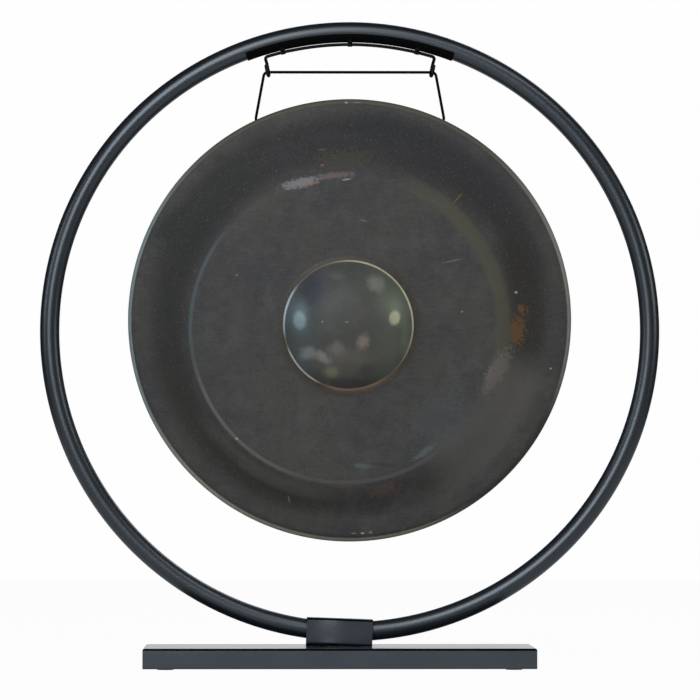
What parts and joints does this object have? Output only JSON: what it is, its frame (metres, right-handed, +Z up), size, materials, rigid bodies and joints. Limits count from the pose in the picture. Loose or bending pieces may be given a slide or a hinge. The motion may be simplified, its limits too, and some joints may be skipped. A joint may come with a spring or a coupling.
{
  "type": "gong stand",
  "caption": "Table-top stand: a steel hoop on a low folded base, with a bossed gong that swings on a cord from wire hooks under the top of the hoop.",
  "frame": {"origin": "on the table, below the middle of the hoop and half way between the front and the back of the base", "axes": "+Z up; the hoop lies in the XZ plane, with +X to the right and -Y towards someone who faces the gong's boss"},
  "size_m": [0.6094, 0.15, 0.6353],
  "materials": {
    "powder_black": "satin black powder coat",
    "powder_slate": "satin dark slate powder coat",
    "rubber_black": "matt black",
    "wire_black": "black coated steel",
    "zinc_steel": "bright zinc plated",
    "dark_bronze": "dark patina, hand hammered, worn to bare metal round the boss",
    "cord_black": "braided black cord"
  },
  "bodies": {
    "stand": {"base_tray": "powder_slate", "foot_1": "rubber_black", "foot_2": "rubber_black", "foot_3": "rubber_black", "foot_4": "rubber_black", "sleeve_wedge": "rubber_black", "hoop_sleeve": "powder_slate", "hoop_tube": "powder_black", "hoop_spigot": "zinc_steel", "base_bolt_left": "zinc_steel", "base_bolt_right": "zinc_steel", "base_washer_left": "zinc_steel", "base_washer_right": "zinc_steel", "hanger_pad": "rubber_black", "hanger_wire": "wire_black", "hanger_clip_left": "wire_black", "hanger_clip_centre": "wire_black", "hanger_clip_right": "wire_black", "clip_screw_1": "wire_black", "clip_screw_2": "wire_black", "clip_screw_3": "wire_black", "clip_screw_4": "wire_black", "clip_screw_5": "wire_black", "clip_screw_6": "wire_black"},
    "gong": {"gong": "dark_bronze", "gong_cord": "cord_black"}
  },
  "joints": [
    {"name": "gong_swing", "type": "hinge", "parent": "stand", "child": "gong", "pos_m": [0, 0, 0.58627], "axis": [1, 0, 0], "range_deg": [-35, 35]}
  ]
}
